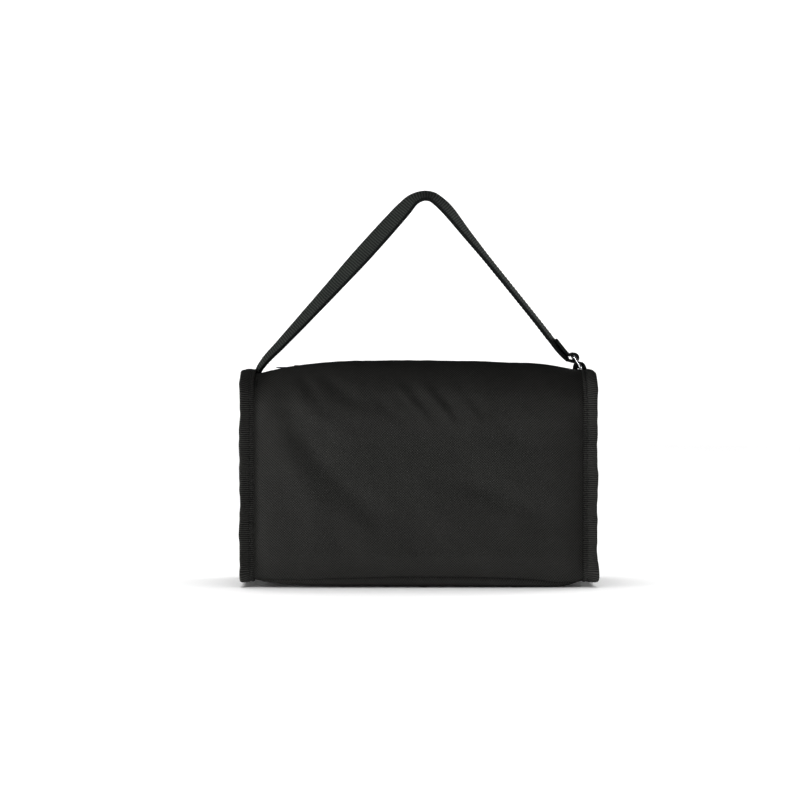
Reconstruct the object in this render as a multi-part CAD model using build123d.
from build123d import *
import os
import math

# Film changing bag packed in its soft carry case.
# The case is a box-shaped bag of black woven polyester. One wrap of fabric makes the
# front, top and back, a separate panel makes the bottom, and two end panels are sewn
# in with bound seams that stand out sideways as fins. A coil zip runs along the middle
# of the top, in a valley between the two top flaps. A webbing strap, sewn in at the
# left end and looped through a metal ring at the right end, makes the handle.
# The changing bag itself lies folded inside: light-tight chamber, two arm sleeves with
# elastic cuffs, its own zip, and an elastic band round the bundle.
# Frame: +X to the right, -Y to the front, +Z up, origin under the middle of the base.

# ---------------------------------------------------------------- driving dimensions
BODY_HALF_W = 138.5      # half width between the inner edges of the bound seams
FIN_END = 150.5          # outer edge of the bound seams
ALLOWANCE_END = 149.0    # where the seam allowances stop inside the binding
DEPTH_HALF = 50.0        # half depth of the body
END_BOTTOM = 4.8         # lowest point of the end outline
END_TOP = 181.7          # highest point of the end outline
R_TOP = 28.0             # top front and back corner radius
R_BOTTOM = 10.0          # bottom corner radius
T_SHELL = 1.6            # outer fabric with its coating and foam skin
SEAM_BOTTOM_Z = 8.4      # height of the seam between wrap and bottom panel
FLAP_Z = 156.0           # height where the top flaps start to fold
FLAP_HALF = 97.0         # half length of the opening flaps
ZIP_Z = 180.0            # underside of the zip tape
ZIP_VALLEY = 7.0         # half width of the valley the zip lies in
SLIDER_X = -104.0        # closed position of the zip slider
PULL_LEN = 18.0
STRAP_W = 25.0
STRAP_T = 3.0            # two layers of webbing stitched together
SWING_Z = 197.5          # height of the axis the strap swings about
RING_WIRE_R = 1.4
RING_UP = (133.4, 193.4)     # upper bar of the ring (x, z)
RING_LOW = (138.3, 184.8)    # lower bar of the ring (x, z)
RING_HALF_Y = 14.6

# half-section table of the soft body: x, lowest z, highest z
SECTIONS = [(138.5, 4.8, 181.7), (120.0, 1.6, 185.2), (95.0, 0.0, 187.6), (55.0, 0.0, 189.6)]

os.makedirs("parts", exist_ok=True)
written = []


def save(shape, name):
    solids = shape.solids()
    shape = solids[0] if len(solids) == 1 else Compound(children=list(solids))
    shape.label = name
    export_step(shape, f"parts/{name}.step")
    written.append(name)


def bx(x0, x1, y0, y1, z0, z1):
    return Pos((x0 + x1) / 2, (y0 + y1) / 2, (z0 + z1) / 2) * Box(x1 - x0, y1 - y0, z1 - z0)


def outline(x, o, zb, zt):
    """Rounded outline of the body in the plane X = x, offset inwards by o."""
    h, b, t = DEPTH_HALF - o, zb + o, zt - o
    rt, rb = R_TOP - o, R_BOTTOM - o
    c = math.sqrt(0.5)

    def p(y, z):
        return Vector(x, y, z)

    e = [
        Edge.make_line(p(-h + rb, b), p(h - rb, b)),
        Edge.make_three_point_arc(p(h - rb, b), p(h - rb + rb * c, b + rb - rb * c), p(h, b + rb)),
        Edge.make_line(p(h, b + rb), p(h, t - rt)),
        Edge.make_three_point_arc(p(h, t - rt), p(h - rt + rt * c, t - rt + rt * c), p(h - rt, t)),
        Edge.make_line(p(h - rt, t), p(-h + rt, t)),
        Edge.make_three_point_arc(p(-h + rt, t), p(-h + rt - rt * c, t - rt + rt * c), p(-h, t - rt)),
        Edge.make_line(p(-h, t - rt), p(-h, b + rb)),
        Edge.make_three_point_arc(p(-h, b + rb), p(-h + rb - rb * c, b + rb - rb * c), p(-h + rb, b)),
    ]
    return Wire(e)


def body(o):
    rows = [(-x, b, t) for x, b, t in SECTIONS] + [(x, b, t) for x, b, t in reversed(SECTIONS)]
    return Solid.make_loft([outline(x, o, b, t) for x, b, t in rows], ruled=True)


def end_plate(o, x0, x1):
    """Solid plate with the end outline offset by o, from x0 to x1 (right side, x1 > x0)."""
    f = Face(outline(x0, o, END_BOTTOM, END_TOP))
    return Solid.extrude(f, Vector(x1 - x0, 0, 0))


def end_ring(o_out, o_in, x0, x1):
    return end_plate(o_out, x0, x1) - end_plate(o_in, x0 - 1, x1 + 1)


def left(shape):
    return mirror(shape, about=Plane.YZ)


# ---------------------------------------------------------------- outer shell
b0, b1 = body(0), body(T_SHELL)
hollow = b0 - b1
fin_core_r = end_ring(0, T_SHELL, BODY_HALF_W, ALLOWANCE_END)
shell = hollow + fin_core_r + left(fin_core_r)

BIG = 400
front_panel = shell & bx(-BIG, BIG, -BIG, 0, SEAM_BOTTOM_Z + 0.05, FLAP_Z)
back_panel = shell & bx(-BIG, BIG, 0, BIG, SEAM_BOTTOM_Z + 0.05, FLAP_Z)
bottom_panel = shell & bx(-BIG, BIG, -BIG, BIG, -5, SEAM_BOTTOM_Z)
save(front_panel, "front_panel")
save(back_panel, "back_panel")
save(bottom_panel, "bottom_panel")

# top end pieces: the part of the top that stays put beyond the ends of the zip opening
slot_end = 124.0
gusset = shell & bx(FLAP_HALF + 0.5, BIG, -BIG, BIG, FLAP_Z + 0.05, BIG)
welt = (
    bx(FLAP_HALF + 0.5, slot_end, ZIP_VALLEY, ZIP_VALLEY + 1.6, ZIP_Z + 1.0, 200)
    + bx(FLAP_HALF + 0.5, slot_end, -ZIP_VALLEY - 1.6, -ZIP_VALLEY, ZIP_Z + 1.0, 200)
    + bx(slot_end, slot_end + 1.6, -ZIP_VALLEY - 1.6, ZIP_VALLEY + 1.6, ZIP_Z + 1.0, 200)
) & b0
gusset = (gusset + welt) - bx(FLAP_HALF, slot_end, -ZIP_VALLEY, ZIP_VALLEY, ZIP_Z - 5, 200)
# slots where the strap ends pass through the fabric
gusset_l = left(gusset) - bx(-136.0, -132.6, -12.8, 12.8, 170, 195)
gusset_r = gusset - bx(133.7, 136.0, -12.8, 12.8, 170, 195)
save(gusset_l, "left_top_end")
save(gusset_r, "right_top_end")

# end panels: plate plus the rim that turns outwards into the bound seam
end_r = end_plate(1.7, 136.0, 137.4) + end_ring(1.7, 2.9, 137.4, ALLOWANCE_END)
save(end_r, "right_end_panel")
save(left(end_r), "left_end_panel")

# binding tape folded over both seam allowances
binding_r = end_ring(-1.0, 4.0, BODY_HALF_W + 0.1, FIN_END) - end_ring(-0.05, 2.95, BODY_HALF_W - 2, ALLOWANCE_END + 0.1)
save(binding_r, "right_end_binding")
save(left(binding_r), "left_end_binding")

# padding, lining and base board
save(bx(-134, 134, -48.3, -45.1, 16, 154), "front_padding")
save(bx(-134, 134, 45.1, 48.3, 16, 154), "back_padding")
pad_r = end_plate(6.0, 132.6, 135.9)
pad_r -= bx(132, 136.5, -13.5, 13.5, 169.5, 180)
save(pad_r, "right_end_padding")
save(left(pad_r), "left_end_padding")
save(bx(-134, 134, -45.0, -44.2, 11, 154), "front_lining")
save(bx(-134, 134, 44.2, 45.0, 11, 154), "back_lining")
lin_r = end_plate(6.0, 131.7, 132.5)
save(lin_r, "right_end_lining")
save(left(lin_r), "left_end_lining")
save(bx(-128, 128, -42, 42, 5.0, 5.8), "bottom_lining")
save(bx(-95, 95, -39, 39, 1.75, 4.75), "base_board")

# ---------------------------------------------------------------- top flaps and zip
b17, b25 = body(T_SHELL + 0.1), body(T_SHELL + 0.9)
flap_box = bx(-FLAP_HALF, FLAP_HALF, -BIG, -ZIP_VALLEY, FLAP_Z + 0.9, BIG)
front_flap = (hollow & flap_box) + (
    bx(-FLAP_HALF, FLAP_HALF, -ZIP_VALLEY - 1.6, -ZIP_VALLEY, ZIP_Z + 1.0, 200) & b0
)
flap_lining = (b17 - b25) & bx(-FLAP_HALF + 1, FLAP_HALF - 1, -BIG, -ZIP_VALLEY - 1.7, FLAP_Z + 1.2, BIG)
tape = bx(-FLAP_HALF, FLAP_HALF, -ZIP_VALLEY - 1.5, -0.9, ZIP_Z, ZIP_Z + 0.8)
coil = bx(-FLAP_HALF, FLAP_HALF, -2.8, -0.7, ZIP_Z + 0.85, ZIP_Z + 2.1)
for name, s in (("flap_panel", front_flap), ("flap_lining", flap_lining), ("zip_tape", tape), ("zip_coil", coil)):
    save(s, "front_" + name)
    save(mirror(s, about=Plane.XZ), "back_" + name)

end_tape_r = bx(FLAP_HALF + 0.5, slot_end + 1.5, -ZIP_VALLEY - 1.5, ZIP_VALLEY + 1.5, ZIP_Z, ZIP_Z + 0.8)
end_tape_r -= bx(FLAP_HALF, 112.6, -0.9, 0.9, ZIP_Z - 1, ZIP_Z + 2)
coil_end = bx(FLAP_HALF + 0.5, 111.5, -2.8, -0.7, ZIP_Z + 0.85, ZIP_Z + 2.1)
coil_end += mirror(coil_end, about=Plane.XZ)
save(end_tape_r, "right_zip_tape_end")
save(left(end_tape_r), "left_zip_tape_end")
save(coil_end, "right_zip_coil_end")
save(left(coil_end), "left_zip_coil_end")
stop = bx(112.9, 114.9, -3.0, 3.0, ZIP_Z + 0.85, ZIP_Z + 2.6)
save(stop + left(stop), "zip_end_stops")

# slider: two plates joined by a thin post, side flanges, and a bridge for the pull
sx = SLIDER_X
slider = (
    bx(sx - 5.5, sx + 5.5, -4.5, 4.5, ZIP_Z + 2.5, ZIP_Z + 3.4)
    + bx(sx - 5.5, sx + 5.5, -4.5, 4.5, ZIP_Z - 1.5, ZIP_Z - 0.4)
    + bx(sx - 1.5, sx + 1.5, -0.35, 0.35, ZIP_Z - 1.0, ZIP_Z + 3.0)
    + bx(sx - 5.5, sx + 5.5, 3.6, 4.5, ZIP_Z + 1.25, ZIP_Z + 3.0)
    + bx(sx - 5.5, sx + 5.5, -4.5, -3.6, ZIP_Z + 1.25, ZIP_Z + 3.0)
    + (bx(sx - 3.2, sx + 3.2, -1.2, 1.2, ZIP_Z + 3.3, ZIP_Z + 6.3) - bx(sx - 1.8, sx + 1.8, -2, 2, ZIP_Z + 3.4, ZIP_Z + 5.4))
)
save(slider, "zip_slider_body")
pz = ZIP_Z + 4.4
pull = Pos(sx, 0, pz) * Rot(90, 0, 0) * Cylinder(0.6, 5.2)
for s in (-1, 1):
    pull += bx(sx - 6, sx + 0.5, min(s * 1.6, s * 2.6), max(s * 1.6, s * 2.6), pz - 0.5, pz + 0.5)
pull += bx(sx - PULL_LEN, sx - 5, -3.5, 3.5, pz - 0.5, pz + 0.5)
pull -= Pos(sx - PULL_LEN + 3.5, 0, pz) * Cylinder(1.3, 4)
save(pull, "zip_pull")

# ---------------------------------------------------------------- carry strap
# Centre line in the XZ plane: two straight legs, a small bend at the top and a flatter
# last stretch down to the ring.
LEFT_FOOT = (-135.0, 184.0)
APEX_L = (-1.6, 330.0)
APEX_R = (14.1, 330.0)
RIGHT_KNEE = (117.0, 202.3)
RIGHT_END = (130.5, 194.5)
path = FilletPolyline(
    (LEFT_FOOT[0], 0, LEFT_FOOT[1]), (APEX_L[0], 0, APEX_L[1]), (APEX_R[0], 0, APEX_R[1]),
    (RIGHT_KNEE[0], 0, RIGHT_KNEE[1]), (RIGHT_END[0], 0, RIGHT_END[1]),
    radius=9.0,
)
print("strap centre line length", round(path.length, 1))
start = Plane(origin=path @ 0, z_dir=path % 0, x_dir=(0, 1, 0))
strap = sweep(start * Rectangle(STRAP_W, STRAP_T), path=path)
# the foot is rounded about the swing axis, so that the strap can swing over the top
stadium = bx(-200, 200, -STRAP_W / 2, STRAP_W / 2, SWING_Z, 400) + Pos(0, 0, SWING_Z) * Rot(0, 90, 0) * Cylinder(STRAP_W / 2, 400)
strap = strap & stadium & bx(-138.3, 127.8, -50, 50, 0, 400)
save(strap, "carry_strap")

# stub of the strap's left end: goes through the top into the end seam
save(bx(-135.8, -132.8, -12.5, 12.5, 172.0, 184.3), "left_strap_anchor")

# webbing tab at the right: an arch over the bound seam that holds the ring's lower bar
cx, cz, ro, ri = 138.5, 185.6, 4.6, 2.8
arch = Pos(cx, 0, cz) * Rot(90, 0, 0) * Cylinder(ro, STRAP_W) + bx(cx - ro, cx + ro, -12.5, 12.5, 182.9, cz)
arch = arch & bx(120, 160, -20, 20, 182.9, 200)
arch -= Pos(cx, 0, cz) * Rot(90, 0, 0) * Cylinder(ri, STRAP_W + 2)
arch -= bx(cx - ri, cx + ri, -20, 20, 180, cz)
arch += bx(cx - ro, cx - ri, -12.5, 12.5, 172.0, cz)
save(arch, "ring_tab")

# strap end folded round the ring's upper bar and stitched
ux, uz = RING_UP
loop = Pos(ux, 0, uz) * Rot(90, 0, 0) * (Cylinder(4.0, STRAP_W) - Cylinder(2.6, STRAP_W + 2))
loop = loop & bx(129.4, 150, -20, 20, 180, 210)
save(loop, "strap_end_loop")

# ring: four round bars
lx, lz = RING_LOW
span = math.hypot(lx - ux, lz - uz)
ang = math.degrees(math.atan2(lz - uz, lx - ux))
cs = [(ux, -RING_HALF_Y, uz), (ux, RING_HALF_Y, uz), (lx, RING_HALF_Y, lz), (lx, -RING_HALF_Y, lz)]
ring = None
for a, b in zip(cs, cs[1:] + cs[:1]):
    a, b = Vector(*a), Vector(*b)
    bar = Solid.make_cylinder(RING_WIRE_R, (b - a).length, Plane(origin=a, z_dir=(b - a)))
    ring = bar if ring is None else ring + bar
for c in cs:
    ring += Pos(*c) * Sphere(RING_WIRE_R)
save(ring, "strap_ring")
print("ring bar spacing", round(span, 2), "angle", round(ang, 1))

# ---------------------------------------------------------------- packed changing bag
block = bx(-117, 117, -39, 39, 7.2, 118)
block = fillet(block.edges().filter_by(Axis.X), 13)
save(block, "folded_chamber")
for s, side in ((-1, "left"), (1, "right")):
    roll = bx(26, 112, -38, 10, 118.4, 144)
    roll = fillet(roll.edges().filter_by(Axis.X), 11)
    cuff = bx(13, 25.7, -34, 6, 120.4, 142)
    cuff = fillet(cuff.edges().filter_by(Axis.X), 9.5)
    if s < 0:
        roll, cuff = left(roll), left(cuff)
    save(roll, side + "_arm_sleeve")
    save(cuff, side + "_elastic_cuff")
save(bx(-100, 100, 16, 34, 118.1, 118.9) + bx(-100, 100, 22.4, 27.6, 118.8, 119.6), "chamber_zip")
save(bx(60, 68, 20.6, 29.4, 120.0, 121.6) + bx(68, 84, 22.5, 27.5, 120.6, 121.4), "chamber_zip_slider")
band = bx(-10, 10, -40.4, 40.4, 5.95, 121.2) - bx(-11, 11, -39.3, 39.3, 6.95, 120.2)
save(band, "tie_band")

print(len(written), "nodes written")
